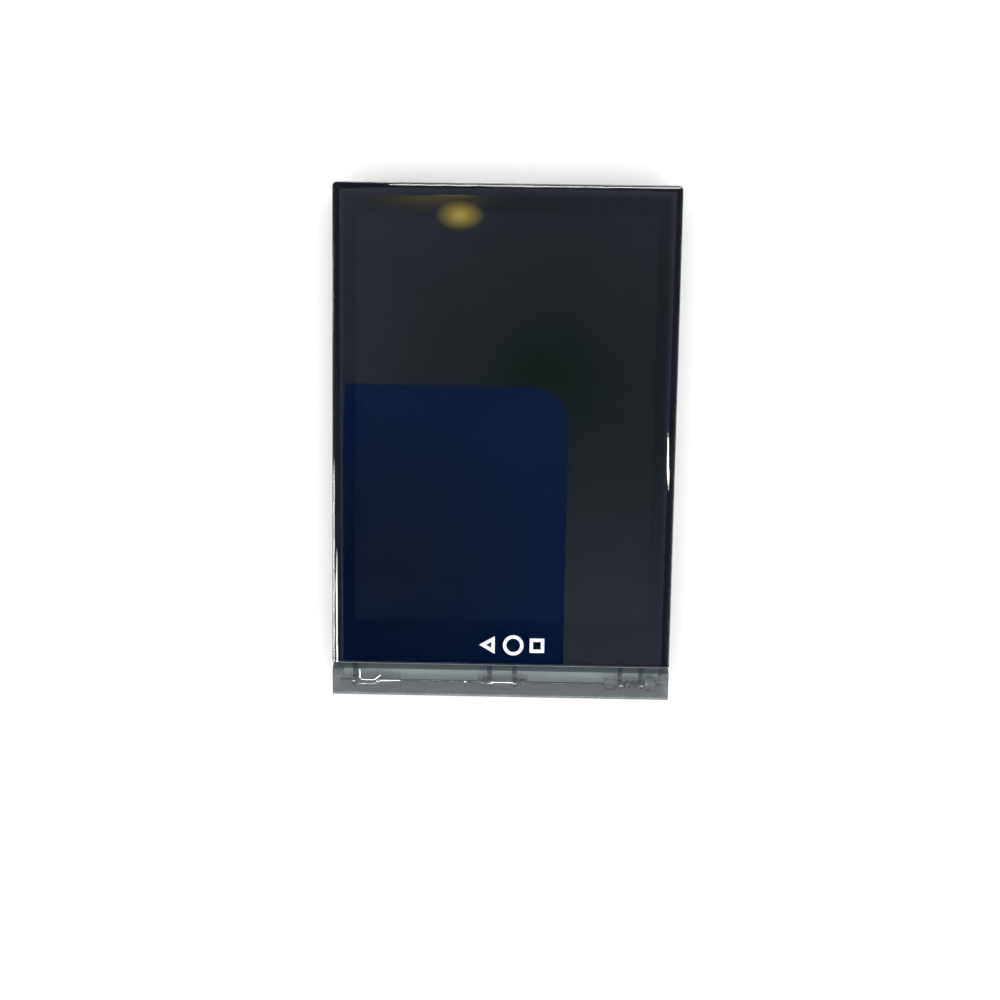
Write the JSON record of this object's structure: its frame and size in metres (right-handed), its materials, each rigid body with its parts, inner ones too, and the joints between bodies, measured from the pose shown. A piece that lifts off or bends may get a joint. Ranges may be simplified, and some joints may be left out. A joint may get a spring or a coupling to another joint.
{
  "type": "personal digital assistant",
  "caption": "Pocket touch-screen handheld with a rounded black glass face, a smoke-grey hinged card door at its bottom end, side keys and a charging port at the top.",
  "frame": {"origin": "centre of the footprint, on the surface the handheld lies on", "axes": "+X to the right of the screen, +Y up the screen, +Z out of the screen towards the viewer"},
  "size_m": [0.0428, 0.0644, 0.0095],
  "materials": {
    "cover_glass": "polished",
    "black_ink": "matt print",
    "black_adhesive": "foam tape",
    "sensor_film": "clear",
    "display": "dark, switched off",
    "light_guide": "clear acrylic",
    "stainless": "pressed sheet",
    "silicon": "moulded package",
    "polyimide": "amber film",
    "black_plastic": "moulded",
    "casing": "satin, finely textured",
    "seal_rubber": "soft",
    "screw_steel": "black oxide",
    "bright_steel": "polished wire",
    "circuit_board": "solder mask",
    "shield_steel": "tinned sheet",
    "battery_foil": "laminated foil",
    "mesh_cloth": "fine weave",
    "smoke_plastic": "translucent smoke grey",
    "card_plastic": "moulded",
    "key_plastic": "satin",
    "tungsten": "sintered"
  },
  "bodies": {
    "body": {"front_glass": "cover_glass", "ink_border": "black_ink", "glass_adhesive": "black_adhesive", "touch_sensor": "sensor_film", "lcd_panel": "display", "backlight_guide": "light_guide", "display_tray": "stainless", "display_driver_chip": "silicon", "display_flex": "polyimide", "touch_flex": "polyimide", "flex_connectors": "black_plastic", "mid_frame": "casing", "rear_cover": "casing", "rear_gasket": "seal_rubber", "case_screws": "screw_steel", "hinge_brackets": "bright_steel", "main_board": "circuit_board", "bottom_board": "circuit_board", "board_screws": "screw_steel", "link_flex": "polyimide", "processor_shield": "shield_steel", "radio_shield": "shield_steel", "board_chips": "silicon", "usb_port": "shield_steel", "usb_tongue": "black_plastic", "card_socket": "shield_steel", "battery_pack": "battery_foil", "battery_pad": "black_adhesive", "battery_lead": "black_plastic", "speaker": "black_plastic", "speaker_mesh": "mesh_cloth", "microphone": "shield_steel", "vibration_motor": "shield_steel", "antenna": "polyimide", "key_switches": "shield_steel"},
    "door": {"card_door": "smoke_plastic", "door_seal": "seal_rubber", "hinge_pin": "bright_steel", "door_clip": "bright_steel", "pin_sleeve": "bright_steel", "pin_collars": "bright_steel", "door_spring": "bright_steel", "spring_plate": "bright_steel"},
    "card": {"memory_card": "card_plastic"},
    "power_key": {"power_key": "key_plastic"},
    "volume_up_key": {"volume_up_key": "key_plastic"},
    "volume_down_key": {"volume_down_key": "key_plastic"},
    "motor_weight": {"motor_weight": "tungsten"}
  },
  "joints": [
    {"name": "door_hinge", "type": "hinge", "parent": "body", "child": "door", "pos_m": [0, -0.03072, 0.00635], "axis": [-1, 0, 0], "range_deg": [0, 90], "stiffness_Nm_per_rad": 0.0003, "springref_deg": -17.19},
    {"name": "card_eject", "type": "slide", "parent": "body", "child": "card", "axis": [0, -1, 0], "range_m": [0, 0.0022]},
    {"name": "power_key_press", "type": "slide", "parent": "body", "child": "power_key", "axis": [-1, 0, 0], "range_m": [0, 0.00025], "stiffness_N_per_m": 900, "springref_m": -0.0001},
    {"name": "volume_up_press", "type": "slide", "parent": "body", "child": "volume_up_key", "axis": [1, 0, 0], "range_m": [0, 0.00025], "stiffness_N_per_m": 900, "springref_m": -0.0001},
    {"name": "volume_down_press", "type": "slide", "parent": "body", "child": "volume_down_key", "axis": [1, 0, 0], "range_m": [0, 0.00025], "stiffness_N_per_m": 900, "springref_m": -0.0001},
    {"name": "motor_spin", "type": "hinge", "parent": "body", "child": "motor_weight", "pos_m": [-0.0135, 0.02842, 0.00275], "axis": [1, 0, 0], "continuous": true}
  ]
}
